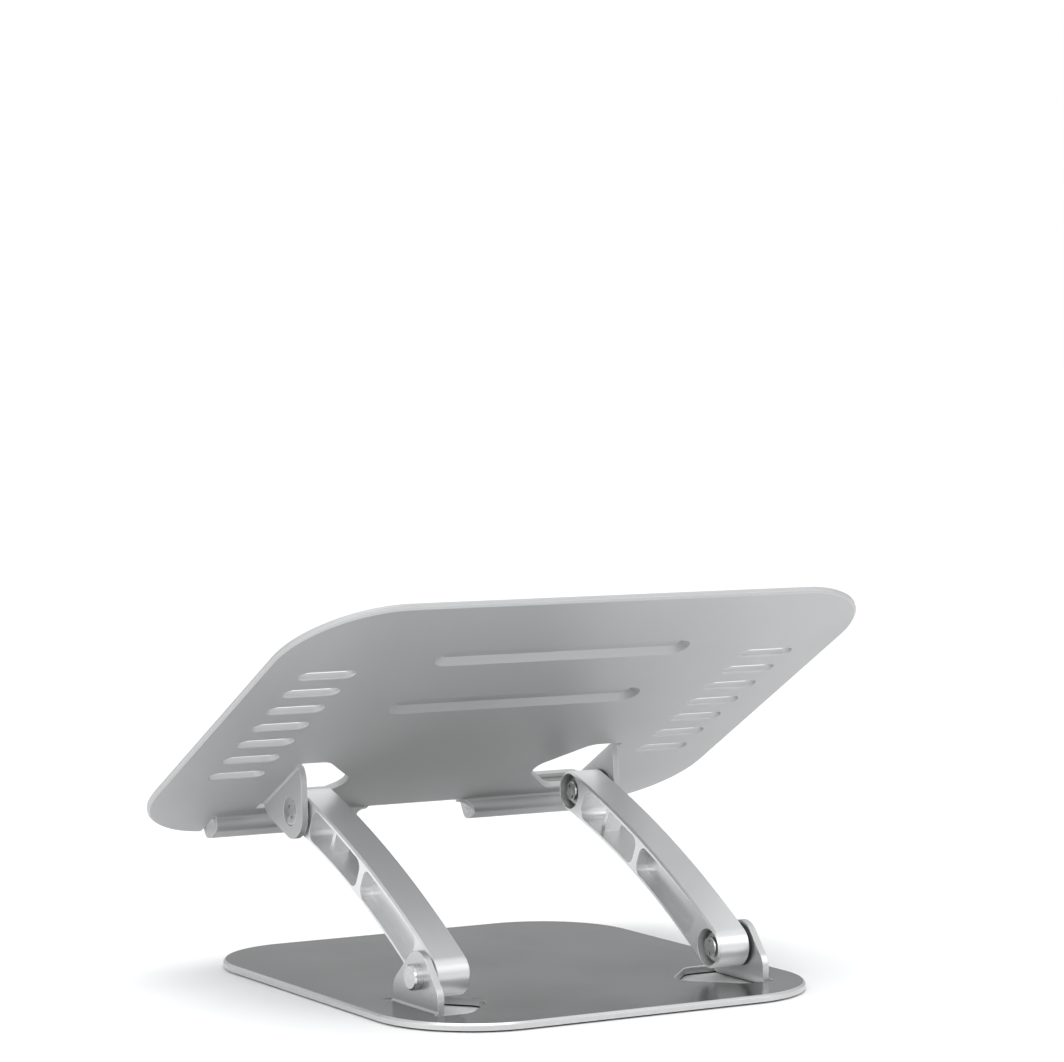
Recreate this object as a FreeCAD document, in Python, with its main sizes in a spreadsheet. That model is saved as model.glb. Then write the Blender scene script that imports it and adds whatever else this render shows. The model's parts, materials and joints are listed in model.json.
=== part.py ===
import FreeCAD, Part
import Sketcher
import math
import os
import re

# Folding laptop stand. Right is +X, rear is +Y and up is +Z, with the origin on the ground under
# the middle of the base. The base, the arms and the tray are each drawn lying flat, as they are
# when the stand is folded, and are then placed at the open angles.

DIMENSIONS = {
    # base
    "base_width": 204.4,
    "base_depth": 224.2,
    "plate_thickness": 3.0,
    "plate_corner": 45.0,
    "plate_edge": 0.9,
    "mat_thickness": 0.7,
    "mat_inset": 1.6,
    # tray, measured from the upper pivot line
    "tray_width": 284.4,
    "tray_rear": 172.0,
    "tray_front": 50.0,
    "tray_drop": 13.7,
    # pivots and opening angles
    "pivot_y": 64.8,
    "pivot_z": 17.0,
    "arm_reach": 128.7,
    "arm_raise": 25.7,
    "tray_tilt": 30.5,
    # arms
    "arm_inner": 61.8,
    "arm_width": 16.3,
    "boss_radius": 9.2,
    "arch_top": 13.2,
    "arch_bottom": 4.2,
    "arm_edge": 0.8,
    "wall": 2.0,
    "bridge_at": 67.0,
    "bridge_width": 4.0,
    "pocket_low": 14.0,
    "pocket_high": 116.0,
    "pocket_depth": 5.6,
    "rib_at": 101.0,
    "rib_width": 2.6,
    "rib_inset": 4.0,
    "window_round": 4.2,
    # ears and the openings that they are bent out of
    "ear_half": 19.5,
    "ear_shift": 2.2,
    "ear_tip": 10.6,
    "tray_ear_tip": 12.0,
    "ear_flat": 4.2,
    "ear_shoulder": 5.0,
    "tray_ear_shoulder": 9.0,
    "tray_ear_flat": 6.0,
    "tray_ear_lean": 1.0,
    "ear_round": 9.0,
    "ear_root": 16.0,
    "rim_edge": 0.4,
    "bend_inner": 1.2,
    "opening_reach": 29.8,
    "opening_half": 23.7,
    "opening_shift": 3.5,
    "opening_slope": 18.7,
    "opening_margin": 5.0,
    # pivot hardware
    "shank_radius": 3.0,
    "running_gap": 0.05,
    "counterbore_radius": 8.0,
    "counterbore_depth": 6.7,
    "washer_thickness": 0.9,
    "inner_washer_thickness": 0.8,
    "inner_washer_radius": 7.4,
    "disc_radius": 7.0,
    "disc_thickness": 0.6,
    "disc_rise": 0.3,
    "disc_clearance": 0.1,
    "thrust_thickness": 0.5,
    "thrust_radius": 6.2,
    "nut_radius": 4.5,
    "nut_thickness": 2.6,
    "nut_skin": 0.9,
    "nut_gap": 0.02,
    "bolt_gap": 0.3,
    "spanner_radius": 0.75,
    "spanner_offset": 2.5,
    "spanner_depth": 1.2,
    "button_radius": 5.5,
    "button_height": 4.0,
    "button_edge": 0.7,
    "flush_radius": 6.3,
    "flush_depth": 1.1,
    "flush_clearance": 0.15,
    "flush_edge": 0.2,
    # tray openings, beads and hooks
    "slot_middle": 110.15,
    "slot_length": 26.0,
    "slot_width": 6.8,
    "slot_first": 60.1,
    "slot_pitch": 16.58,
    "bead_length": 125.8,
    "bead_width": 14.0,
    "bead_rear": 49.9,
    "bead_front": 96.9,
    "bead_depth": 2.4,
    "bead_slope": 4.0,
    "front_gap_depth": 16.5,
    "hook_inner": 32.5,
    "hook_outer": 101.0,
    "hook_start": 33.5,
    "hook_front": 47.5,
    "hook_bend": 4.2,
    "hook_sink": 5.6,
    "hook_overlap": 2.0,
    "hook_rise": 13.0,
    "hook_corner": 6.0,
    "hook_flare": 9.0,
    "hook_pad_thickness": 1.4,
    "hook_pad_height": 8.0,
    "hook_pad_inset": 3.0,
    "tray_pad_length": 108.0,
    "tray_pad_width": 5.6,
    "tray_pad_thickness": 1.0,
    # how far cutting shapes run past what they cut
    "cut_over": 1.0,
    "cut_margin": 5.0,
    "cut_reach": 20.0,
}
SLOT_COUNT = 7
SIDES = {"right": 1, "left": -1}

doc = FreeCAD.newDocument("laptop_stand")
dims = doc.addObject("Spreadsheet::Sheet", "Dims")
for row, (alias, number) in enumerate(DIMENSIONS.items(), 1):
    dims.set(f"A{row}", alias)
    dims.set(f"B{row}", str(number))
    dims.setAlias(f"B{row}", alias)
doc.recompute()


def named(expression):
    """Put the sheet's name in front of every alias in an expression."""
    return re.sub(r"[a-z]\w*", lambda word: prefixed(word.group()), str(expression))


def prefixed(word):
    return f"Dims.{word}" if word in DIMENSIONS else word


def bind(item, **sizes):
    """Bind properties to expressions; double underscores stand for dots."""
    for path, expression in sizes.items():
        item.setExpression(path.replace("__", "."), named(expression))


def move_to(item, x="0", y="0", z="0"):
    bind(item, Placement__Base__x=x, Placement__Base__y=y, Placement__Base__z=z)


def turned(item, axis, degrees):
    item.Placement = FreeCAD.Placement(FreeCAD.Vector(), FreeCAD.Rotation(FreeCAD.Vector(*axis), degrees))


def block(name, x, y, z, length, width, height):
    """A box from its lowest corner."""
    box = doc.addObject("Part::Box", name)
    bind(box, Length=length, Width=width, Height=height)
    move_to(box, x, y, z)
    return box


def rod(name, radius, length, x="0", y="0", z="0"):
    """A cylinder along +X from its starting point."""
    cylinder = doc.addObject("Part::Cylinder", name)
    turned(cylinder, (0, 1, 0), 90)
    bind(cylinder, Radius=radius, Height=length)
    move_to(cylinder, x, y, z)
    return cylinder


def post(name, radius, height, x, y, z):
    """A cylinder along +Z from its starting point."""
    cylinder = doc.addObject("Part::Cylinder", name)
    bind(cylinder, Radius=radius, Height=height)
    move_to(cylinder, x, y, z)
    return cylinder


def joined(name, shapes):
    fusion = doc.addObject("Part::MultiFuse", name)
    fusion.Shapes = shapes
    fusion.Refine = True
    return fusion


def cut(name, base, tool):
    result = doc.addObject("Part::Cut", name)
    result.Base = base
    result.Tool = tool
    result.Refine = True
    return result


def shared(name, first, second):
    result = doc.addObject("Part::Common", name)
    result.Base = first
    result.Tool = second
    result.Refine = True
    return result


def grouped(name, shapes):
    group = doc.addObject("Part::Compound", name)
    group.Links = shapes
    return group


def mirrored(name, source):
    """The same shape on the other side of the middle."""
    mirror = doc.addObject("Part::Mirroring", name)
    mirror.Source = source
    mirror.Normal = (1, 0, 0)
    mirror.Base = (0, 0, 0)
    return mirror


def both_sides(name, source):
    return joined(name, [source, mirrored(name + "_left", source)])


def outline(body, name, plane, corners):
    """A closed sketch of straight lines through (across, up) corners on a body's own plane."""
    sketch = body.newObject("Sketcher::SketchObject", name + "_outline")
    origin_plane = next(item for item in body.Origin.OriginFeatures if item.Role == plane)
    sketch.AttachmentSupport = [(origin_plane, "")]
    sketch.MapMode = "FlatFace"
    count = len(corners)
    ring_of_points = []
    for number in range(count):
        angle = 2 * math.pi * number / count
        ring_of_points.append(FreeCAD.Vector(math.cos(angle), math.sin(angle), 0) * 10)
    for number in range(count):
        start, end = ring_of_points[number], ring_of_points[(number + 1) % count]
        sketch.addGeometry(Part.LineSegment(start, end))
    for number in range(count):
        sketch.addConstraint(Sketcher.Constraint("Coincident", number, 2, (number + 1) % count, 1))
    for number, corner in enumerate(corners):
        start = ring_of_points[number]
        directions = (("DistanceX", "across", start.x), ("DistanceY", "up", start.y))
        for (kind, word, distance), expression in zip(directions, corner):
            constraint = Sketcher.Constraint(kind, -1, 1, number, 1, distance)
            sketch.renameConstraint(sketch.addConstraint(constraint), f"{word}{number}")
            sketch.setExpression(f"Constraints.{word}{number}", named(expression))
    return sketch


def prism(name, plane, corners, height, rounds=None):
    """A straight-sided outline padded along its plane's normal.

    rounds maps a radius to the numbers of the corners that it rounds.
    """
    body = doc.addObject("PartDesign::Body", name)
    sketch = outline(body, name, plane, corners)
    pad = body.newObject("PartDesign::Pad", name + "_pad")
    pad.Profile = sketch
    bind(pad, Length=height)
    doc.recompute()
    for step, (radius, numbers) in enumerate((rounds or {}).items()):
        round_corners(body, sketch, f"{name}_round_{step}", radius, numbers)
    return body


def round_corners(body, sketch, name, radius, numbers):
    """Fillet the edges that stand on the sketch's numbered corners."""
    frame = sketch.Placement
    places = [frame.multVec(sketch.Geometry[number].StartPoint) for number in numbers]
    normal = frame.Rotation.multVec(FreeCAD.Vector(0, 0, 1))
    solid = body.Tip
    edges = []
    for index, edge in enumerate(solid.Shape.Edges, 1):
        first, last = edge.Vertexes[0].Point, edge.Vertexes[-1].Point
        if (last - first).cross(normal).Length > 1e-4 or (last - first).Length < 1e-4:
            continue
        if any((first - place).cross(normal).Length < 1e-3 for place in places):
            edges.append(f"Edge{index}")
    fillet = body.newObject("PartDesign::Fillet", name)
    fillet.Base = (solid, edges)
    bind(fillet, Radius=radius)
    doc.recompute()


def lathe(name, corners):
    """A round piece about the X axis from its half section of (along, radius) corners."""
    body = doc.addObject("PartDesign::Body", name)
    sketch = outline(body, name, "XY_Plane", corners)
    revolution = body.newObject("PartDesign::Revolution", name + "_revolution")
    revolution.Profile = sketch
    revolution.ReferenceAxis = (sketch, ["H_Axis"])
    revolution.Angle = 360
    doc.recompute()
    return body


def value(alias):
    return float(dims.get(alias))


def broken_edges(name, source, alias, wanted):
    """Chamfer the edges of a shape that a test picks."""
    doc.recompute()
    size = value(alias)
    chamfer = doc.addObject("Part::Chamfer", name)
    chamfer.Base = source
    numbered = enumerate(source.Shape.Edges, 1)
    chamfer.Edges = [(index, size, size) for index, edge in numbered if wanted(edge)]
    return chamfer


def at_height(edge, height):
    box = edge.BoundBox
    return abs(box.ZMin - height) < 1e-4 and abs(box.ZMax - height) < 1e-4


def open_out(item, axis, angle, y, z):
    """Turn a sub-part about its pivot line and lift it to its place."""
    turned(item, axis, 30)
    bind(item, Placement__Rotation__Angle=f"{angle} * 1 deg")
    move_to(item, y=y, z=z)
    return item


def to_lower_pivot(item):
    move_to(item, y="pivot_y", z="pivot_z")
    return item


def to_arm_angle(item):
    return open_out(item, (-1, 0, 0), "arm_raise", "pivot_y", "pivot_z")


def to_tray_angle(item):
    upper_y = "pivot_y - arm_reach * cos( arm_raise * 1 deg )"
    upper_z = "pivot_z + arm_reach * sin( arm_raise * 1 deg )"
    return open_out(item, (1, 0, 0), "tray_tilt", upper_y, upper_z)


sub_parts = {}


def keep(name, item):
    item.Label = name
    sub_parts[name] = item
    return item


def keep_pair(name, item):
    """Keep a right-hand piece and its mirror image on the left."""
    keep("right_" + name, item)
    keep("left_" + name, mirrored("mirror_" + name, item))


ARM_OUTER = "( arm_inner + arm_width )"
EAR_INNER = f"( {ARM_OUTER} + washer_thickness + 2 * running_gap )"
EAR_OUTER = f"( {EAR_INNER} + plate_thickness )"
HOLE = "( shank_radius + running_gap )"
PLATE_TOP = "( mat_thickness + plate_thickness )"
TRAY_TOP = "( tray_drop + plate_thickness )"


# Plates with ears

def ear_face(name, pivot, root, shoulder, tip, tip_half="ear_flat", tip_lean="0"):
    """The ear's outline seen from the side: straight sides, sloping shoulders, a rounded tip."""
    corners = [
        (f"{pivot} - ear_shift - ear_half", root),
        (f"{pivot} - ear_shift + ear_half", root),
        (f"{pivot} - ear_shift + ear_half", shoulder),
        (f"{pivot} + {tip_lean} + {tip_half}", tip),
        (f"{pivot} + {tip_lean} - {tip_half}", tip),
        (f"{pivot} - ear_shift - ear_half", shoulder),
    ]
    face = prism(name, "YZ_Plane", corners, "ear_root", {"ear_round": [2, 3, 4, 5]})
    move_to(face, x=EAR_INNER)
    return face


def ear_bend(name, pivot, inside, outside, tip):
    """The bent strip that an ear is cut from, seen along the bend.

    inside is the plate face that the ear stands up from and outside is the other face.
    """
    corners = [
        (EAR_INNER, outside),
        (f"{EAR_INNER} + ear_root", outside),
        (f"{EAR_INNER} + ear_root", inside),
        (EAR_OUTER, inside),
        (EAR_OUTER, tip),
        (EAR_INNER, tip),
    ]
    rounds = {"bend_inner + plate_thickness": [0], "bend_inner": [3]}
    strip = prism(name, "XZ_Plane", corners, "2 * ear_half", rounds)
    move_to(strip, y=f"{pivot} - ear_shift + ear_half")
    return strip


def ear_opening(name, pivot, z, depth):
    """The hole that an ear leaves in its plate, wider than the ear so that the bend is relieved."""
    middle = f"{pivot} - opening_shift"
    tip = f"{EAR_INNER} - opening_reach"
    shoulder = f"{tip} + opening_slope"
    root = f"{EAR_INNER} + opening_margin"
    corners = [
        (root, f"{middle} - opening_half"),
        (root, f"{middle} + opening_half"),
        (shoulder, f"{middle} + opening_half"),
        (tip, f"{middle} + ear_flat"),
        (tip, f"{middle} - ear_flat"),
        (shoulder, f"{middle} - opening_half"),
    ]
    hole = prism(name + "_hole", "XY_Plane", corners, depth, {"ear_round": [2, 3, 4, 5]})
    move_to(hole, z=z)
    return both_sides(name, hole)


def rounded_plate(name, low_x, low_y, high_x, high_y, z, height, corner):
    corners = [(low_x, low_y), (high_x, low_y), (high_x, high_y), (low_x, high_y)]
    plate = prism(name, "XY_Plane", corners, height, {corner: [0, 1, 2, 3]})
    move_to(plate, z=z)
    return plate


def on_opening_rim(edge, height):
    """True for the rim of an ear opening, clear of the bend."""
    bend_start = value("arm_inner") + value("arm_width")
    tip = bend_start - value("opening_reach") - value("cut_margin")
    return at_height(edge, height) and tip < abs(edge.CenterOfMass.x) < bend_start


def make_base():
    openings = ear_opening("base_openings", "pivot_y", "-cut_margin", "cut_reach")
    blank = rounded_plate(
        "base_blank", "-base_width / 2", "-base_depth / 2", "base_width / 2", "base_depth / 2",
        "mat_thickness", "plate_thickness", "plate_corner",
    )
    top = value("mat_thickness") + value("plate_thickness")
    edged = broken_edges("base_edged", blank, "plate_edge", lambda edge: at_height(edge, top))
    opened = cut("base_opened", edged, openings)
    trimmed = broken_edges("base_trimmed", opened, "rim_edge", lambda edge: on_opening_rim(edge, top))
    tip = "pivot_z + ear_tip"
    face = ear_face("base_ear_face", "pivot_y", "mat_thickness", "pivot_z - ear_shoulder", tip)
    bend = ear_bend("base_ear_bend", "pivot_y", PLATE_TOP, "mat_thickness", f"{tip} + cut_over")
    ears = both_sides("base_ears", shared("base_ear", face, bend))
    solid = joined("base_solid", [trimmed, ears])
    bore = rod("base_bore", HOLE, "ear_root", EAR_INNER, "pivot_y", "pivot_z")
    keep("base_plate", cut("base_plate", solid, both_sides("base_bores", bore)))
    mat_blank = rounded_plate(
        "mat_blank", "mat_inset - base_width / 2", "mat_inset - base_depth / 2",
        "base_width / 2 - mat_inset", "base_depth / 2 - mat_inset",
        "0", "mat_thickness", "plate_corner - mat_inset",
    )
    keep("base_mat", cut("base_mat", mat_blank, openings))


# Arms

def arch_radius(name):
    """The radius of the arc that passes the middle and is tangent to both bosses."""
    half = "arm_reach / 2"
    if name == "top":
        return f"( ( {half} ) ^ 2 + arch_top ^ 2 - boss_radius ^ 2 ) / ( 2 * ( arch_top - boss_radius ) )"
    return (
        f"( ( {half} ) ^ 2 + arch_bottom ^ 2 - boss_radius ^ 2 )"
        " / ( 2 * ( boss_radius - arch_bottom ) )"
    )


def arm_blank():
    """The arched bar from the lower boss at the origin to the upper boss in front of it."""
    reach, boss = value("arm_reach"), value("boss_radius")
    top, bottom = value("arch_top"), value("arch_bottom")
    top_radius = ((reach / 2) ** 2 + top ** 2 - boss ** 2) / (2 * (top - boss))
    bottom_radius = ((reach / 2) ** 2 + bottom ** 2 - boss ** 2) / (2 * (boss - bottom))
    top_lean = math.atan2(reach / 2, top_radius - top)
    bottom_lean = math.atan2(reach / 2, bottom_radius + bottom)
    up = math.pi / 2
    body = doc.addObject("PartDesign::Body", "arm_blank")
    sketch = body.newObject("Sketcher::SketchObject", "arm_outline")
    plane = next(item for item in body.Origin.OriginFeatures if item.Role == "YZ_Plane")
    sketch.AttachmentSupport = [(plane, "")]
    sketch.MapMode = "FlatFace"
    arcs = [
        (0, 0, boss, -up - bottom_lean, up - top_lean),
        (-reach / 2, top - top_radius, top_radius, up - top_lean, up + top_lean),
        (-reach, 0, boss, up + top_lean, 3 * up + bottom_lean),
        (-reach / 2, -bottom - bottom_radius, bottom_radius, up - bottom_lean, up + bottom_lean),
    ]
    for y, z, radius, start, end in arcs:
        circle = Part.Circle(FreeCAD.Vector(y, z, 0), FreeCAD.Vector(0, 0, 1), radius)
        sketch.addGeometry(Part.ArcOfCircle(circle, start, end))
    for first, first_end, second, second_end in ((0, 2, 1, 1), (1, 2, 2, 1), (2, 2, 3, 2), (3, 1, 0, 1)):
        sketch.addConstraint(Sketcher.Constraint("Tangent", first, first_end, second, second_end))
    sizes = [
        ("lower_boss", Sketcher.Constraint("Radius", 0, boss), "boss_radius"),
        ("upper_boss", Sketcher.Constraint("Radius", 2, boss), "boss_radius"),
        ("arch_top", Sketcher.Constraint("Radius", 1, top_radius), arch_radius("top")),
        ("arch_bottom", Sketcher.Constraint("Radius", 3, bottom_radius), arch_radius("bottom")),
        ("reach", Sketcher.Constraint("DistanceX", 2, 3, 0, 3, reach), "arm_reach"),
    ]
    sketch.addConstraint(Sketcher.Constraint("Coincident", 0, 3, -1, 1))
    sketch.addConstraint(Sketcher.Constraint("PointOnObject", 2, 3, -1))
    for name, constraint, expression in sizes:
        sketch.renameConstraint(sketch.addConstraint(constraint), name)
        sketch.setExpression(f"Constraints.{name}", named(expression))
    pad = body.newObject("PartDesign::Pad", "arm_pad")
    pad.Profile = sketch
    bind(pad, Length="arm_width")
    doc.recompute()
    flat = []
    for index, edge in enumerate(pad.Shape.Edges, 1):
        if edge.BoundBox.XLength < 1e-4:
            flat.append(f"Edge{index}")
    chamfer = body.newObject("PartDesign::Chamfer", "arm_edges")
    chamfer.Base = (pad, flat)
    bind(chamfer, Size="arm_edge")
    move_to(body, x="arm_inner")
    doc.recompute()
    return body


def arm_window(name, near, far):
    """The space between the arm's walls, from near to far along the arm, with rounded ends."""
    length = "arm_width + 2 * cut_over"
    start = "arm_inner - cut_over"
    middle = "-arm_reach / 2"
    roof = rod(
        name + "_roof", f"{arch_radius('top')} - wall", length, start, middle,
        f"arch_top - {arch_radius('top')}",
    )
    floor = rod(
        name + "_floor", f"{arch_radius('bottom')} + wall", length, start, middle,
        f"-arch_bottom - {arch_radius('bottom')}",
    )
    span = block(
        name + "_span", start, f"-( {far} )", "-cut_reach",
        length, f"{far} - ( {near} )", "2 * cut_reach",
    )
    space = shared(name + "_space", cut(name + "_band", roof, floor), span)
    doc.recompute()
    fillet = doc.addObject("Part::Fillet", name)
    fillet.Base = space
    radius = value("window_round")
    rounded = []
    for index, edge in enumerate(space.Shape.Edges, 1):
        if edge.BoundBox.YLength < 1e-4 and edge.BoundBox.ZLength < 1e-4:
            rounded.append((index, radius, radius))
    fillet.Edges = rounded
    return fillet


def make_arms():
    low = arm_window("low_window", "pocket_low", "bridge_at - bridge_width / 2")
    web = block(
        "arm_web", "arm_inner + pocket_depth", "-arm_reach", "-cut_reach",
        "arm_width - 2 * pocket_depth", "arm_reach", "2 * cut_reach",
    )
    high = arm_window("high_window", "bridge_at + bridge_width / 2", "pocket_high")
    rib = block(
        "arm_rib", "arm_inner + rib_inset", "-rib_at - rib_width / 2", "-cut_reach",
        "arm_width - 2 * rib_inset", "rib_width", "2 * cut_reach",
    )
    tools = [cut("low_pockets", low, web), cut("high_openings", high, rib)]
    for name, y in (("lower", "0"), ("upper", "-arm_reach")):
        start = "arm_inner - cut_over"
        bore = rod(f"{name}_bore", HOLE, "arm_width + 2 * cut_over", start, y)
        recess = rod(f"{name}_recess", "counterbore_radius", "counterbore_depth + cut_over", start, y)
        tools += [bore, recess]
    arm = cut("arm", arm_blank(), joined("arm_tools", tools))
    keep_pair("arm", to_arm_angle(arm))


# Pivot hardware, about its own pivot line

RECESS_FLOOR = "( arm_inner + counterbore_depth - running_gap )"
DISCS_END = f"( {RECESS_FLOOR} - inner_washer_thickness )"
DISC_WIDTH = "( disc_thickness + disc_rise )"
THRUST_END = f"( {DISCS_END} - 2 * {DISC_WIDTH} )"
NUT_END = f"( {THRUST_END} - thrust_thickness )"
NUT_FACE = f"( {NUT_END} - nut_thickness )"


def ring(name, start, length, radius):
    end = f"{start} + {length}"
    return lathe(name, [(start, HOLE), (end, HOLE), (end, radius), (start, radius)])


def spanner_holes(name, face, inward):
    """Two blind holes for a pin spanner, drilled into a face along X."""
    start = face if inward > 0 else f"{face} - spanner_depth"
    pair = []
    for side, z in (("top", "spanner_offset"), ("bottom", "-spanner_offset")):
        pair.append(rod(f"{name}_{side}", "spanner_radius", "spanner_depth", start, "0", z))
    return joined(name, pair)


def bolt(name, head_start, head_end, head_radius, edge):
    tip = f"{NUT_FACE} + nut_skin + bolt_gap"
    corners = [
        (tip, "0"),
        (tip, "shank_radius"),
        (head_start, "shank_radius"),
        (head_start, head_radius),
        (f"{head_end} - {edge}", head_radius),
        (head_end, f"{head_radius} - {edge}"),
        (head_end, "0"),
    ]
    return lathe(name, corners)


def nut(name):
    bore = "shank_radius + nut_gap"
    corners = [
        (NUT_FACE, "0"),
        (NUT_FACE, "nut_radius - rim_edge"),
        (f"{NUT_FACE} + rim_edge", "nut_radius"),
        (NUT_END, "nut_radius"),
        (NUT_END, bore),
        (f"{NUT_FACE} + nut_skin", bore),
        (f"{NUT_FACE} + nut_skin", "0"),
    ]
    return cut(name, lathe(name + "_blank", corners), spanner_holes(name + "_holes", NUT_FACE, 1))


def disc_springs(name):
    """Two conical discs, back to back, with their outer rims apart."""
    inner = f"{HOLE} + disc_clearance"
    middle = f"{DISCS_END} - {DISC_WIDTH}"
    pair = []
    for number, sign, start in ((1, "+", middle), (2, "-", middle)):
        corners = [
            (start, inner),
            (f"{start} {sign} disc_thickness", inner),
            (f"{start} {sign} disc_thickness {sign} disc_rise", "disc_radius"),
            (f"{start} {sign} disc_rise", "disc_radius"),
        ]
        pair.append(lathe(f"{name}_{number}", corners))
    return grouped(name, pair)


def make_pivot(pivot, place, make_bolt):
    keep_pair(f"{pivot}_bolt", place(make_bolt(f"{pivot}_bolt")))
    washer_start = f"{ARM_OUTER} + running_gap"
    washer = ring(f"{pivot}_ear_washer", washer_start, "washer_thickness", "boss_radius")
    keep_pair(f"{pivot}_ear_washer", place(washer))
    inner = ring(f"{pivot}_inner_washer", DISCS_END, "inner_washer_thickness", "inner_washer_radius")
    keep_pair(f"{pivot}_inner_washer", place(inner))
    keep_pair(f"{pivot}_disc_springs", place(disc_springs(f"{pivot}_disc_springs")))
    thrust = ring(f"{pivot}_thrust_washer", NUT_END, "thrust_thickness", "thrust_radius")
    keep_pair(f"{pivot}_thrust_washer", place(thrust))
    keep_pair(f"{pivot}_nut", place(nut(f"{pivot}_nut")))


def button_bolt(name):
    head_end = f"{EAR_OUTER} + button_height"
    return bolt(name, EAR_OUTER, head_end, "button_radius", "button_edge")


def flush_bolt(name):
    head_start = f"{EAR_OUTER} - flush_depth + running_gap"
    head_end = f"{EAR_OUTER} - flush_clearance"
    blank = bolt(name + "_blank", head_start, head_end, "( flush_radius - flush_clearance )", "flush_edge")
    return cut(name, blank, spanner_holes(name + "_holes", head_end, -1))


# Tray

def slots():
    """The row of ventilation slots on each side."""
    end = "slot_length / 2 - slot_width / 2"
    pieces = []
    for number in range(SLOT_COUNT):
        y = f"tray_rear - slot_first - {number} * slot_pitch"
        low_y = f"{y} - slot_width / 2"
        middle = block(
            f"slot_{number}", f"slot_middle - ( {end} )", low_y, "tray_drop - cut_margin",
            f"2 * ( {end} )", "slot_width", "cut_reach",
        )
        pieces.append(middle)
        for place, x in (("inner", f"slot_middle - ( {end} )"), ("outer", f"slot_middle + {end}")):
            end_name = f"slot_{number}_{place}"
            pieces.append(post(end_name, "slot_width / 2", "cut_reach", x, y, "tray_drop - cut_margin"))
    return both_sides("slots", joined("slots_right", pieces))


def bead(name, distance, z):
    """A long pressed bead with sloping sides and round ends."""
    y = f"tray_rear - {distance}"
    half = "bead_width / 2"
    reach = "bead_length / 2 - bead_width / 2"
    corners = [
        (f"{y} - {half}", z),
        (f"{y} + {half}", z),
        (f"{y} + {half} - bead_slope", f"{z} + bead_depth"),
        (f"{y} - {half} + bead_slope", f"{z} + bead_depth"),
    ]
    run = prism(name + "_run", "YZ_Plane", corners, f"2 * ( {reach} )")
    move_to(run, x=f"-( {reach} )")
    pieces = [run]
    for side, sign in SIDES.items():
        end = doc.addObject("Part::Cone", f"{name}_{side}")
        bind(end, Radius1=half, Radius2=f"{half} - bead_slope", Height="bead_depth")
        move_to(end, f"{sign} * ( {reach} )", y, z)
        pieces.append(end)
    return joined(name, pieces)


def hook_section(name, start, width):
    """A length of the front lip: the sheet dips into a channel and rises in front of the laptop."""
    bottom = "tray_drop - hook_sink"
    lip = f"{TRAY_TOP} + hook_rise"
    corners = [
        ("hook_overlap - hook_start", "tray_drop"),
        ("-hook_start", "tray_drop"),
        ("-hook_start", bottom),
        ("-hook_front", bottom),
        ("-hook_front", lip),
        ("plate_thickness - hook_front", lip),
        ("plate_thickness - hook_front", f"{bottom} + plate_thickness"),
        ("-hook_start - plate_thickness", f"{bottom} + plate_thickness"),
        ("-hook_start - plate_thickness", TRAY_TOP),
        ("hook_overlap - hook_start", TRAY_TOP),
    ]
    rounds = {
        "bend_inner": [1],
        "hook_bend": [2, 3],
        "hook_bend - plate_thickness": [6, 7],
        "bend_inner + plate_thickness": [8],
    }
    section = prism(name, "YZ_Plane", corners, width, rounds)
    move_to(section, x=start)
    return section


def hook_flare():
    """The rounded corner where the tray's front edge runs into the rear wall of a hook."""
    start = "hook_inner - hook_flare"
    section = hook_section("flare_section", start, "hook_flare")
    rear = block(
        "flare_rear", start, "-hook_start - plate_thickness", "tray_drop - hook_sink",
        "hook_flare", "hook_overlap + plate_thickness", "hook_sink + plate_thickness",
    )
    disc = doc.addObject("Part::Cylinder", "flare_disc")
    turned(disc, (1, 0, 0), 90)
    bind(disc, Radius="hook_flare", Height="cut_reach")
    move_to(disc, start, "cut_reach / 2 - hook_start", "tray_drop - hook_flare")
    return cut("flare", shared("flare_wall", section, rear), disc)


def hooks():
    section = hook_section("hook_section", "hook_inner", "hook_outer - hook_inner")
    lip = f"{TRAY_TOP} + hook_rise"
    front = [
        ("hook_inner", "-cut_reach"),
        ("hook_outer", "-cut_reach"),
        ("hook_outer", lip),
        ("hook_inner", lip),
    ]
    face = prism("hook_face", "XZ_Plane", front, "2 * cut_reach", {"hook_corner": [2, 3]})
    move_to(face, y="-cut_reach")
    hook = joined("hook", [shared("hook_blank", section, face), hook_flare()])
    return both_sides("hooks", hook)


def in_slots(place):
    """True for a place in one of the two rows of slots."""
    first = value("tray_rear") - value("slot_first")
    beside = abs(abs(place.x) - value("slot_middle")) < value("slot_length")
    last = first - SLOT_COUNT * value("slot_pitch")
    return beside and last < place.y < first + value("slot_width")


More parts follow.
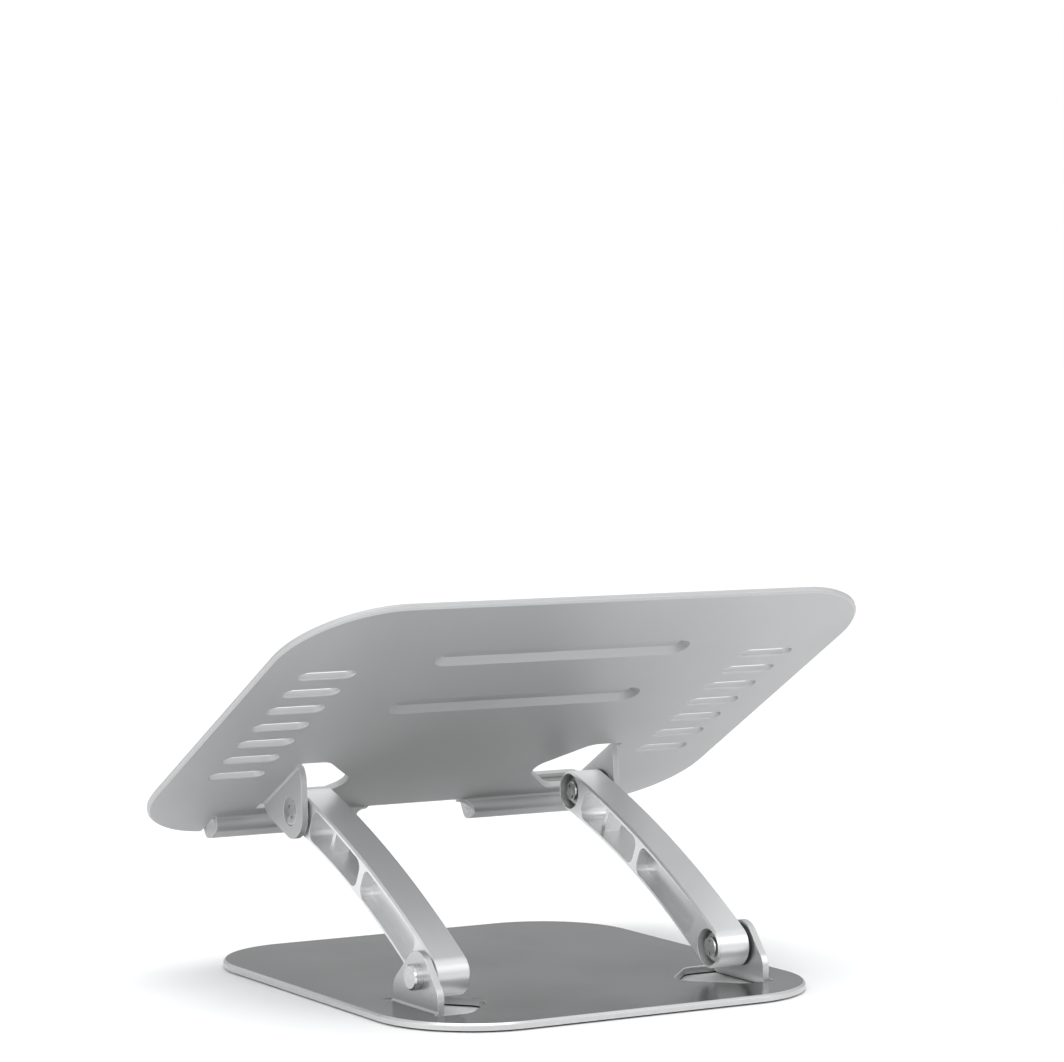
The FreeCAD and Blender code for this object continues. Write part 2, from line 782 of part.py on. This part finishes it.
def make_tray():
    openings = ear_opening("tray_openings", "0", "tray_drop - cut_margin", "cut_reach")
    blank = rounded_plate(
        "tray_blank", "-tray_width / 2", "-tray_front", "tray_width / 2", "tray_rear",
        "tray_drop", "plate_thickness", "plate_corner",
    )
    bottom = value("tray_drop")
    top = bottom + value("plate_thickness")

    def outer_edge(edge):
        return at_height(edge, bottom) or at_height(edge, top)

    edged = broken_edges("tray_edged", blank, "plate_edge", outer_edge)
    gap = block(
        "hook_gap", "-hook_outer - cut_over", "-tray_front - cut_margin", "tray_drop - cut_margin",
        "2 * ( hook_outer + cut_over )", "cut_margin + front_gap_depth", "cut_reach",
    )
    cutters = joined("tray_cutters", [openings, slots(), gap])
    opened = cut("tray_opened", edged, cutters)

    def rim(edge):
        if not at_height(edge, bottom):
            return False
        near_pivot = abs(edge.CenterOfMass.y) < value("opening_half")
        return in_slots(edge.CenterOfMass) or on_opening_rim(edge, bottom) and near_pivot

    trimmed = broken_edges("tray_trimmed", opened, "rim_edge", rim)
    recesses = []
    ridges = []
    for place in ("rear", "front"):
        recesses.append(bead(f"{place}_groove", f"bead_{place}", "tray_drop"))
        ridges.append(bead(f"{place}_ridge", f"bead_{place}", TRAY_TOP))
    grooved = cut("tray_grooved", trimmed, joined("grooves", recesses))
    face = ear_face(
        "tray_ear_face", "0", TRAY_TOP, "tray_ear_shoulder", "-tray_ear_tip",
        "tray_ear_flat", "tray_ear_lean",
    )
    bend = ear_bend("tray_ear_bend", "0", "tray_drop", TRAY_TOP, "-tray_ear_tip - cut_over")
    ears = both_sides("tray_ears", shared("tray_ear", face, bend))
    solid = joined("tray_solid", [grooved, ears, hooks()] + ridges)
    bore = rod("tray_bore", HOLE, "ear_root", EAR_INNER)
    recess = rod("tray_recess", "flush_radius", "flush_depth + cut_margin", f"{EAR_OUTER} - flush_depth")
    drilled = cut("tray_plate", solid, both_sides("tray_bores", joined("tray_bore_right", [bore, recess])))
    keep("tray_plate", to_tray_angle(drilled))


def make_pads():
    pad = block(
        "hook_pad", "hook_inner + hook_pad_inset", "plate_thickness - hook_front",
        f"{TRAY_TOP} + hook_pad_inset", "hook_outer - hook_inner - 2 * hook_pad_inset",
        "hook_pad_thickness", "hook_pad_height",
    )
    keep_pair("hook_pad", to_tray_angle(grouped("hook_pad_placed", [pad])))
    for place in ("rear", "front"):
        middle = f"tray_rear - bead_{place}"
        strip = rounded_plate(
            f"{place}_strip", "-tray_pad_length / 2", f"{middle} - tray_pad_width / 2",
            "tray_pad_length / 2", f"{middle} + tray_pad_width / 2",
            f"{TRAY_TOP} + bead_depth", "tray_pad_thickness", "tray_pad_width / 2 - running_gap",
        )
        keep(f"{place}_tray_pad", to_tray_angle(grouped(f"{place}_strip_placed", [strip])))


make_base()
make_arms()
make_pivot("base", to_lower_pivot, button_bolt)
make_pivot("tray", to_tray_angle, flush_bolt)
make_tray()
make_pads()
doc.recompute()

for item in doc.Objects:
    if "Invalid" in item.State or "Error" in item.State:
        raise RuntimeError(f"{item.Name} failed: {item.State}")
for name, item in sub_parts.items():
    if item.Shape.isNull() or not item.Shape.isValid():
        raise RuntimeError(f"{name} has no valid shape")

os.makedirs("parts", exist_ok=True)
for name, item in sub_parts.items():
    item.Shape.exportStep(f"parts/{name}.step")
    box = item.Shape.BoundBox
    print(f"{name:28s} {item.Shape.Volume:10.1f} {len(item.Shape.Solids)} "
          f"{box.XMin:.1f} {box.XMax:.1f} {box.YMin:.1f} {box.YMax:.1f} {box.ZMin:.1f} {box.ZMax:.1f}")
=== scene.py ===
"""Looks of a folding aluminium laptop stand.

Makes the metal finishes, the rubber and silicone pieces, the studio and the camera.
Everything is in metres in the part's own frame: X to the user's right, Y to the rear, Z up,
with the origin on the ground under the middle of the base.
"""
import json
import math

import bmesh
import bpy
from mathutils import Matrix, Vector


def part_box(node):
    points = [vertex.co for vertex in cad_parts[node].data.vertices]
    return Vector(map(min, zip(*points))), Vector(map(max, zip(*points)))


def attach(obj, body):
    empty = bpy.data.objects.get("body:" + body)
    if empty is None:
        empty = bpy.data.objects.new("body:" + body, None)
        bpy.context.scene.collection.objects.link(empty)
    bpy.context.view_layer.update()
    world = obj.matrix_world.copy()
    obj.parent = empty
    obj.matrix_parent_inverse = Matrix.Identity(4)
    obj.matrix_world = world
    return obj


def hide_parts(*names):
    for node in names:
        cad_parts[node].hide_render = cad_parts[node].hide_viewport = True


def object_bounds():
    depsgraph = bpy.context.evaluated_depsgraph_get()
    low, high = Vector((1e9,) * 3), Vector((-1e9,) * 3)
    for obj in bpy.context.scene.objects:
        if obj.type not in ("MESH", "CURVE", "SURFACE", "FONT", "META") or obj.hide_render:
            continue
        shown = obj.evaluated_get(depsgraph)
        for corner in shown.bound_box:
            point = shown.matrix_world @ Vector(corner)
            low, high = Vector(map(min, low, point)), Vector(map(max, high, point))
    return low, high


MM = 0.001
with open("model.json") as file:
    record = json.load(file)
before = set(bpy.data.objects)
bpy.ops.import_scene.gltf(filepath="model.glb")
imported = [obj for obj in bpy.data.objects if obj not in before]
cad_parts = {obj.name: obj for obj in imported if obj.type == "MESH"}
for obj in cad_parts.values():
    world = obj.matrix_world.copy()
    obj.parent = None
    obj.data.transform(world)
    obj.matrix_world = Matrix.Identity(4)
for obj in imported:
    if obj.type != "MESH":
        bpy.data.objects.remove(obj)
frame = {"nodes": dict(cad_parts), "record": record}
cad_low, cad_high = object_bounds()
MOUNTS = {mount["name"]: mount for mount in frame["record"]["mounts"]}

# Silicone pads on the tray: a body with a rounded edge, and ribs with sloped ends on it.
PAD_BODY_SHARE = 0.7
PAD_EDGE = 0.4 * MM
PAD_EDGE_STEPS = 3
RIB_PITCH = 3.0 * MM
RIB_WIDTH = 1.5 * MM
RIB_STEPS = 6
RIB_SINK = 0.05 * MM
RIB_CREST_REACH = 0.93
STRIP_RIB_INSET = 0.7 * MM
HOOK_RIB_INSET = 1.2 * MM
HOOK_RIB_PITCH = 0.8 * RIB_PITCH

# Rubber mat under the base. Vertices nearer than MAT_WELD are one, and facets that meet at
# less than MAT_FLAT degrees are one face. Edges sharper than MAT_EDGE_ANGLE are rounded.
MAT_WELD = 0.01 * MM
MAT_FLAT = 1.0
MAT_EDGE = 0.2 * MM
MAT_EDGE_STEPS = 3
MAT_EDGE_ANGLE = 50.0

# Smooth shading stops at edges sharper than this, in degrees.
MESH_CREASE = 40.0

# Metal sheet: the radius within which an edge counts as polished, a polished edge's
# roughness, and the rounding that its shading shows. Polished edges are painted a lighter
# grey, partly the polished metal's own colour and partly a painted highlight. The base plate's
# top face is painted darker, a painted dark reflection of the surroundings; it ends
# PAINTED_TOP_REACH above the mat and fades over PAINTED_TOP_FADE.
POLISHED_EDGE = 0.45 * MM
POLISHED_GLOSS = 0.18
SHEET_ROUNDING = 0.25 * MM
PAINTED_TOP_REACH = 3.2 * MM
PAINTED_TOP_FADE = 0.5 * MM

# Studio, in metres, watts and degrees. A light is (name, place, size, watts), and a sky stop
# is (height, level), from the horizon at 0 to straight up at 1.
FLOOR_SIZE = 60.0
FLOOR_SIDES = 96
FLOOR_DROP = 0.1 * MM
LIGHTS = (
    ("overhead", (0.1, 0.2, 1.9), (1.4, 1.4), 1.5),
    ("rear_left", (1.6, 1.3, 1.1), (1.2, 1.0), 9.0),
    ("side_left", (2.2, 0.2, 0.5), (1.4, 0.9), 6.0),
    ("rear_right", (-1.3, 1.2, 0.8), (0.6, 1.2), 5.0),
)
SUN_STRENGTH = 1.1
SUN_SPREAD = 50.0
SKY_STRENGTH = 0.86
SKY_STOPS = ((0.0, 0.45), (0.2, 0.7), (0.5, 0.95), (1.0, 1.0))
CAMERA_PLACE = Vector((0.8191, 1.3990, 0.2832))
CAMERA_YAW = 30.7
CAMERA_PITCH = 3.05
CAMERA_LENS = 125.3
SENSOR_WIDTH = 36.0
NEAREST, FARTHEST = 0.01, 100.0


# ---------------------------------------------------------------- node helpers

def supply(tree, socket, source):
    """Links an output to an input socket, or sets the socket to a plain value."""
    if isinstance(source, bpy.types.NodeSocket):
        tree.links.new(source, socket)
    else:
        socket.default_value = source


class Surface:
    """A material with short calls for the nodes that its pattern needs."""

    def __init__(self, name):
        self.material = bpy.data.materials.new(name)
        self.material.use_nodes = True
        self.tree = self.material.node_tree
        self.shader = self.tree.nodes["Principled BSDF"]
        self.places = self.add("ShaderNodeTexCoord")

    def add(self, kind, **settings):
        node = self.tree.nodes.new(kind)
        for key, setting in settings.items():
            setattr(node, key, setting)
        return node

    def join(self, output, socket):
        self.tree.links.new(output, socket)

    def feed(self, node, **inputs):
        """Sets or links a node's inputs, named with _ for spaces."""
        for key, source in inputs.items():
            supply(self.tree, node.inputs[key.replace("_", " ")], source)
        return node

    def noise(self, scale, detail=2.0, stretch=(1.0, 1.0, 1.0)):
        """Noise with features of about 1 / scale metres, drawn out where stretch is below 1."""
        place = self.places.outputs["Object"]
        mapping = self.feed(self.add("ShaderNodeMapping"), Scale=stretch, Vector=place)
        texture = self.add("ShaderNodeTexNoise")
        self.feed(texture, Scale=scale, Detail=detail, Vector=mapping.outputs["Vector"])
        return texture.outputs["Fac"]

    def spread(self, value, low, high, start=0.0, end=1.0):
        """value, from start to end, as a number from low to high."""
        node = self.add("ShaderNodeMapRange", interpolation_type="SMOOTHSTEP")
        self.feed(node, Value=value, From_Min=start, From_Max=end, To_Min=low, To_Max=high)
        return node.outputs["Result"]

    def maths(self, operation, first, second):
        node = self.add("ShaderNodeMath", operation=operation)
        for socket, source in zip(node.inputs, (first, second)):
            supply(self.tree, socket, source)
        return node.outputs["Value"]

    def mix(self, share, first, second, kind="RGBA"):
        """Colours, or numbers with kind FLOAT, mixed by share."""
        node = self.add("ShaderNodeMix", data_type=kind)
        sockets = [s for s in node.inputs if s.enabled]
        for socket, source in zip(sockets, (share, first, second)):
            supply(self.tree, socket, source)
        return next(s for s in node.outputs if s.enabled)

    def rounded(self, radius):
        """The surface's direction with its edges rounded by radius."""
        node = self.feed(self.add("ShaderNodeBevel", samples=6), Radius=radius)
        return node.outputs["Normal"]

    def edges(self, radius, start, end):
        """1 on edges sharper than the rounding radius and 0 on open faces."""
        rounded = self.rounded(radius)
        geometry = self.add("ShaderNodeNewGeometry")
        agreement = self.add("ShaderNodeVectorMath", operation="DOT_PRODUCT")
        self.join(rounded, agreement.inputs[0])
        self.join(geometry.outputs["Normal"], agreement.inputs[1])
        return self.spread(agreement.outputs["Value"], 1.0, 0.0, start, end)

    def bump(self, height, strength, distance, radius):
        """A bump over edges that are rounded by radius."""
        rounded = self.rounded(radius)
        node = self.add("ShaderNodeBump")
        self.feed(node, Strength=strength, Distance=distance, Height=height, Normal=rounded)
        self.join(node.outputs["Normal"], self.shader.inputs["Normal"])


def grey(level, warmth=0.0):
    """An opaque near-neutral colour. Warmth above 0 leans to yellow, below 0 to blue."""
    return (level * (1 + warmth), level, level * (1 - warmth), 1.0)


# ------------------------------------------------------------------- materials

def anodised(name, level, polished_highlight_level, roughness, metal, painted_dark_top=None):
    """Satin anodised sheet: fine grain, faint handling marks, and polished edges whose lighter
    grey is partly the polished metal's own colour and partly a painted highlight.

    painted_dark_top is (level, roughness, height): faces that look straight up are painted
    darker below that height, a painted dark reflection of the surroundings."""
    s = Surface(name)
    cloud = s.noise(9.0, 3.0)
    grain = s.noise(2200.0, 4.0)
    marks = s.noise(14.0, 6.0)
    body = s.mix(cloud, grey(level * 0.95, -0.008), grey(level * 1.05, -0.004))
    gloss = s.spread(marks, roughness - 0.03, roughness + 0.04, 0.3, 0.7)
    # Painted dark reflection: faces that look straight up, low on the base plate, take a darker
    # grey.
    if painted_dark_top:
        painted_top_level, face_roughness, height = painted_dark_top
        place = s.feed(s.add("ShaderNodeSeparateXYZ"), Vector=s.places.outputs["Object"])
        facing = s.feed(s.add("ShaderNodeSeparateXYZ"), Vector=s.places.outputs["Normal"])
        flat = s.spread(facing.outputs["Z"], 0.0, 1.0, 0.93, 0.99)
        low = s.spread(place.outputs["Z"], 1.0, 0.0, height, height + PAINTED_TOP_FADE)
        share = s.maths("MULTIPLY", flat, low)
        face = s.mix(cloud, grey(painted_top_level * 0.93, -0.01), grey(painted_top_level * 1.07, -0.006))
        face_gloss = s.spread(marks, face_roughness - 0.02, face_roughness + 0.05, 0.3, 0.7)
        body = s.mix(share, body, face)
        gloss = s.mix(share, gloss, face_gloss, "FLOAT")
    # Painted highlight: the polished edges take a lighter grey, partly the polished metal's own
    # colour and partly a painted highlight.
    edge = s.edges(POLISHED_EDGE, 0.88, 0.99)
    s.join(s.mix(edge, body, grey(polished_highlight_level)), s.shader.inputs["Base Color"])
    s.join(s.mix(edge, gloss, POLISHED_GLOSS, "FLOAT"), s.shader.inputs["Roughness"])
    s.bump(grain, 0.06, 0.02 * MM, SHEET_ROUNDING)
    s.feed(s.shader, Metallic=metal)
    return s.material


def turned_steel(name, level, roughness):
    """Turned and polished steel with fine rings round the X axis."""
    s = Surface(name)
    rings = s.noise(2600.0, 2.0, (1.0, 0.05, 0.05))
    cloud = s.noise(220.0, 3.0)
    gloss = s.spread(rings, roughness - 0.06, roughness + 0.08, 0.3, 0.7)
    s.join(s.mix(cloud, grey(level * 0.9), grey(level * 1.08)), s.shader.inputs["Base Color"])
    s.join(gloss, s.shader.inputs["Roughness"])
    s.bump(rings, 0.15, 0.03 * MM, 0.2 * MM)
    s.feed(s.shader, Metallic=1.0)
    return s.material


def spring_steel(name):
    """Oiled spring steel: dark with straw-coloured heat marks."""
    s = Surface(name)
    heat = s.noise(180.0, 4.0)
    s.join(s.mix(heat, grey(0.20, 0.02), grey(0.36, 0.12)), s.shader.inputs["Base Color"])
    s.join(s.spread(heat, 0.28, 0.45, 0.3, 0.7), s.shader.inputs["Roughness"])
    s.bump(s.noise(1800.0), 0.2, 0.03 * MM, 0.15 * MM)
    s.feed(s.shader, Metallic=1.0)
    return s.material


def friction_plastic(name):
    """Black glass-filled washer plastic with a fine pebbled face."""
    s = Surface(name)
    pebble = s.add("ShaderNodeTexVoronoi")
    s.feed(pebble, Scale=2200.0, Vector=s.places.outputs["Object"])
    dust = s.noise(300.0, 4.0)
    s.join(s.mix(dust, grey(0.012), grey(0.035)), s.shader.inputs["Base Color"])
    s.join(s.spread(dust, 0.42, 0.62, 0.3, 0.7), s.shader.inputs["Roughness"])
    s.bump(pebble.outputs["Distance"], 0.3, 0.04 * MM, 0.15 * MM)
    return s.material


def rubber(name, dark, light, roughness, weave):
    """Matt rubber or silicone: a fine grid of pips, cloudy gloss and a little lint."""
    s = Surface(name)
    cloud = s.noise(45.0, 4.0)
    pips = s.add("ShaderNodeTexVoronoi")
    s.feed(pips, Scale=weave, Randomness=0.25, Vector=s.places.outputs["Object"])
    lint = s.spread(s.noise(900.0, 3.0), 0.0, 0.35, 0.66, 0.74)
    body = s.mix(cloud, grey(dark), grey(light))
    gloss = s.spread(cloud, roughness - 0.06, roughness + 0.08, 0.3, 0.7)
    s.join(s.mix(lint, body, grey(light * 2.2)), s.shader.inputs["Base Color"])
    s.join(gloss, s.shader.inputs["Roughness"])
    s.bump(pips.outputs["Distance"], 0.35, 0.08 * MM, 0.1 * MM)
    return s.material


def make_finishes():
    """One material for each of the record's material slots."""
    base_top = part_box("base_mat")[1].z + PAINTED_TOP_REACH
    # The base plate's painted dark reflection on its top face: grey level, roughness and the
    # height where it ends.
    base_painted_top = (0.155, 0.19, base_top)
    # The second number of each aluminium finish is its polished edges' lighter grey, partly a
    # painted highlight.
    return {
        "base_aluminium": anodised("base_aluminium", 0.62, 0.84, 0.32, 0.85, base_painted_top),
        "tray_aluminium": anodised("tray_aluminium", 0.48, 0.82, 0.52, 0.45),
        "arm_aluminium": anodised("arm_aluminium", 0.78, 0.94, 0.34, 0.75),
        "fastener_steel": turned_steel("fastener_steel", 0.70, 0.22),
        "spring_steel": spring_steel("spring_steel"),
        "washer_black": friction_plastic("washer_black"),
        "mat_rubber": rubber("mat_rubber", 0.012, 0.022, 0.62, 900.0),
        "silicone": rubber("silicone", 0.20, 0.26, 0.52, 1400.0),
    }


def paint_nodes(finishes):
    """Every carried-over CAD node takes the finish of its slot."""
    for part in frame["nodes"].values():
        for slot in part.material_slots:
            slot.material = finishes[slot.material.name]


# ------------------------------------------------------------ soft piece meshes

def new_piece(name, mesh_builder, finish, body, stands_for):
    """A mesh object that rides on a body and stands for a CAD node."""
    mesh = bpy.data.meshes.new(name)
    shape = bmesh.new()
    mesh_builder(shape)
    bmesh.ops.recalc_face_normals(shape, faces=shape.faces)
    shape.to_mesh(mesh)
    shape.free()
    mesh.materials.append(finish)
    piece = bpy.data.objects.new(name, mesh)
    bpy.context.scene.collection.objects.link(piece)
    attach(piece, body)
    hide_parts(stands_for)
    return piece


def stadium(length, width, end_steps=8):
    """Outline of a strip with round ends, as (u, v) pairs."""
    radius = width / 2
    straight = length / 2 - radius
    points = []
    for side in (1, -1):
        for step in range(end_steps + 1):
            angle = math.pi * step / end_steps - math.pi / 2
            u = side * (straight + radius * math.cos(angle))
            points.append((u, side * radius * math.sin(angle)))
    return points


def box_outline(length, width, corner=1.2 * MM, corner_steps=5):
    """Outline of a rectangle with small round corners, as (u, v) pairs."""
    points = []
    for turn in range(4):
        along, across = ((1, 1), (-1, 1), (-1, -1), (1, -1))[turn]
        for step in range(corner_steps + 1):
            angle = math.pi / 2 * (turn + step / corner_steps)
            u = along * (length / 2 - corner) + corner * math.cos(angle)
            v = across * (width / 2 - corner) + corner * math.sin(angle)
            points.append((u, v))
    return points


class Plane:
    """A place on the tray with its own directions: u to the right, v along the face, w out."""

    def __init__(self, centre, out):
        self.centre = centre
        self.u = Vector((1, 0, 0))
        self.w = out.normalized()
        self.v = self.w.cross(self.u)

    def at(self, u, v, w):
        return self.centre + self.u * u + self.v * v + self.w * w


def ribbed_pad(shape, plane, outline, thickness, ribs, ribs_along_u):
    """A thin pad with a rounded top edge. ribs is a list of (offset, half length)."""
    body_height = thickness * PAD_BODY_SHARE
    layers = [(0.0, 0.0)]
    for step in range(PAD_EDGE_STEPS + 1):
        angle = math.pi / 2 * step / PAD_EDGE_STEPS
        height = body_height - PAD_EDGE * (1 - math.sin(angle))
        layers.append((PAD_EDGE * (1 - math.cos(angle)), height))
    half_u = max(u for u, _ in outline)
    half_v = max(v for _, v in outline)
    rings = []
    for inset, height in layers:
        ring = []
        for u, v in outline:
            place = plane.at(u * (1 - inset / half_u), v * (1 - inset / half_v), height)
            ring.append(shape.verts.new(place))
        rings.append(ring)
    count = len(outline)
    for lower, upper in zip(rings, rings[1:]):
        for i in range(count):
            following = (i + 1) % count
            shape.faces.new((lower[i], lower[following], upper[following], upper[i]))
    shape.faces.new(rings[0])
    shape.faces.new(rings[-1])
    for offset, half_length in ribs:
        add_rib(shape, plane, offset, half_length, body_height, thickness, ribs_along_u)


def add_rib(shape, plane, offset, half_length, foot, crest, along_u):
    """One rounded rib, as an arched bar with sloped ends, sunk a little into the pad's face."""
    sections = []
    for end, reach in ((-1, 1.0), (-1, RIB_CREST_REACH), (1, RIB_CREST_REACH), (1, 1.0)):
        height = crest if reach < 1 else foot
        along = end * half_length * reach
        ring = []
        for step in range(RIB_STEPS + 1):
            angle = math.pi * step / RIB_STEPS
            across = offset + RIB_WIDTH / 2 * math.cos(angle)
            rise = foot - RIB_SINK + (height - foot + RIB_SINK) * math.sin(angle)
            u, v = (along, across) if along_u else (across, along)
            ring.append(shape.verts.new(plane.at(u, v, rise)))
        sections.append(ring)
    for first, second in zip(sections, sections[1:]):
        for i in range(RIB_STEPS):
            shape.faces.new((first[i], first[i + 1], second[i + 1], second[i]))
        shape.faces.new((first[-1], first[0], second[0], second[-1]))
    shape.faces.new(sections[0])
    shape.faces.new(sections[-1])


def node_middle(node):
    low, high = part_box(node)
    return (low + high) / 2


def slanted_size(node, out):
    """(length, width, thickness) of a thin pad that lies across the tilted direction out."""
    points = [vertex.co for vertex in frame["nodes"][node].data.vertices]
    plane = Plane(node_middle(node), out)
    return tuple(
        max(point.dot(axis) for point in points) - min(point.dot(axis) for point in points)
        for axis in (plane.u, plane.v, plane.w)
    )


def smooth(piece):
    """Smooth shading with creases at the sharp edges."""
    for face in piece.data.polygons:
        face.use_smooth = True
    piece.data.set_sharp_from_angle(angle=math.radians(MESH_CREASE))


def tray_strip(node, finish):
    """The silicone strip on one of the tray's raised beads, with ribs across it."""
    out = Vector(MOUNTS["laptop_face"]["axis"])
    length, width, thickness = slanted_size(node, out)
    plane = Plane(node_middle(node) - out.normalized() * thickness / 2, out)
    count = int((length - width) / RIB_PITCH)
    offsets = [(i - (count - 1) / 2) * RIB_PITCH for i in range(count)]
    ribs = [(offset, width / 2 - STRIP_RIB_INSET) for offset in offsets]

    def build(shape):
        ribbed_pad(shape, plane, stadium(length, width), thickness, ribs, False)

    smooth(new_piece("ribbed_" + node, build, finish, "tray", node))


def hook_lining(node, finish):
    """The silicone lining inside one front hook, with ribs along it."""
    face_out = Vector(MOUNTS["laptop_face"]["axis"]).normalized()
    out = face_out.cross(Vector((1, 0, 0)))
    length, width, thickness = slanted_size(node, out)
    plane = Plane(node_middle(node) - out * thickness / 2, out)
    ribs = [(row * HOOK_RIB_PITCH, length / 2 - HOOK_RIB_INSET) for row in (-1, 0, 1)]

    def build(shape):
        ribbed_pad(shape, plane, box_outline(length, width), thickness, ribs, True)

    smooth(new_piece("ribbed_" + node, build, finish, "tray", node))


def soft_mat(finish):
    """The thin rubber mat under the base, with its cut edges rounded off."""
    source = frame["nodes"]["base_mat"].data

    def build(shape):
        shape.from_mesh(source)
        bmesh.ops.remove_doubles(shape, verts=shape.verts, dist=MAT_WELD)
        flat = math.radians(MAT_FLAT)
        bmesh.ops.dissolve_limit(shape, angle_limit=flat, verts=shape.verts, edges=shape.edges)

    piece = new_piece("rubber_base_mat", build, finish, "base", "base_mat")
    rounding = piece.modifiers.new("rounded_edges", "BEVEL")
    rounding.width = MAT_EDGE
    rounding.segments = MAT_EDGE_STEPS
    rounding.limit_method = "ANGLE"
    rounding.angle_limit = math.radians(MAT_EDGE_ANGLE)
    smooth(piece)


# ---------------------------------------------------------------------- studio

def floor_finish():
    """A pale matt studio floor."""
    s = Surface("floor_paint")
    cloud = s.noise(1.3, 2.0)
    s.join(s.mix(cloud, grey(0.94), grey(0.96)), s.shader.inputs["Base Color"])
    s.join(s.spread(cloud, 0.55, 0.62), s.shader.inputs["Roughness"])
    s.feed(s.shader, Specular_IOR_Level=0.2)
    return s.material


def make_floor():
    """A wide disc just under the mat."""
    mesh = bpy.data.meshes.new("floor")
    shape = bmesh.new()
    bmesh.ops.create_circle(shape, cap_ends=True, segments=FLOOR_SIDES, radius=FLOOR_SIZE / 2)
    shape.to_mesh(mesh)
    shape.free()
    mesh.materials.append(floor_finish())
    floor = bpy.data.objects.new("floor", mesh)
    floor.location.z = -FLOOR_DROP
    bpy.context.scene.collection.objects.link(floor)


def soft_light(name, place, target, size, watts):
    lamp = bpy.data.lights.new(name, "AREA")
    lamp.shape = "RECTANGLE"
    lamp.size, lamp.size_y = size
    lamp.energy = watts
    light = bpy.data.objects.new(name, lamp)
    light.location = place
    aim = target - Vector(place)
    light.rotation_euler = aim.to_track_quat("-Z", "Y").to_euler()
    bpy.context.scene.collection.objects.link(light)


def make_sky():
    """Plain white surroundings, which light the object a little less near the horizon."""
    world = bpy.data.worlds.new("studio")
    world.use_nodes = True
    tree = world.node_tree
    background = tree.nodes["Background"]
    places = tree.nodes.new("ShaderNodeTexCoord")
    split = tree.nodes.new("ShaderNodeSeparateXYZ")
    ramp = tree.nodes.new("ShaderNodeValToRGB")
    path = tree.nodes.new("ShaderNodeLightPath")
    choice = tree.nodes.new("ShaderNodeMix")
    choice.data_type = "RGBA"
    while len(ramp.color_ramp.elements) < len(SKY_STOPS):
        ramp.color_ramp.elements.new(0.5)
    for element, (height, level) in zip(ramp.color_ramp.elements, SKY_STOPS):
        element.position = height
        element.color = grey(level, -0.01)
    colours = [s for s in choice.inputs if s.enabled]
    tree.links.new(places.outputs["Generated"], split.inputs["Vector"])
    tree.links.new(split.outputs["Z"], ramp.inputs["Fac"])
    tree.links.new(path.outputs["Is Camera Ray"], colours[0])
    tree.links.new(ramp.outputs["Color"], colours[1])
    colours[2].default_value = grey(1.0 / SKY_STRENGTH)
    tree.links.new(next(s for s in choice.outputs if s.enabled), background.inputs["Color"])
    background.inputs["Strength"].default_value = SKY_STRENGTH
    bpy.context.scene.world = world


def make_studio():
    make_floor()
    make_sky()
    middle = (cad_low + cad_high) / 2
    for name, place, size, watts in LIGHTS:
        soft_light(name, place, middle, size, watts)
    sun = bpy.data.lights.new("soft_sun", "SUN")
    sun.energy = SUN_STRENGTH
    sun.angle = math.radians(SUN_SPREAD)
    bpy.context.scene.collection.objects.link(bpy.data.objects.new("soft_sun", sun))


def make_camera():
    """The camera stands behind the stand, to the user's right of it."""
    yaw, pitch = math.radians(CAMERA_YAW), math.radians(CAMERA_PITCH)
    level = math.cos(pitch)
    ahead = Vector((-math.sin(yaw) * level, -math.cos(yaw) * level, -math.sin(pitch)))
    lens = bpy.data.cameras.new("camera")
    lens.lens = CAMERA_LENS
    lens.sensor_width = SENSOR_WIDTH
    lens.clip_start, lens.clip_end = NEAREST, FARTHEST
    camera = bpy.data.objects.new("camera", lens)
    camera.location = CAMERA_PLACE
    camera.rotation_euler = ahead.to_track_quat("-Z", "Y").to_euler()
    bpy.context.scene.collection.objects.link(camera)
    bpy.context.scene.camera = camera


finishes = make_finishes()
paint_nodes(finishes)
soft_mat(finishes["mat_rubber"])
for strip in ("rear_tray_pad", "front_tray_pad"):
    tray_strip(strip, finishes["silicone"])
for lining in ("right_hook_pad", "left_hook_pad"):
    hook_lining(lining, finishes["silicone"])
make_studio()
make_camera()
bpy.context.scene.view_settings.view_transform = "Standard"
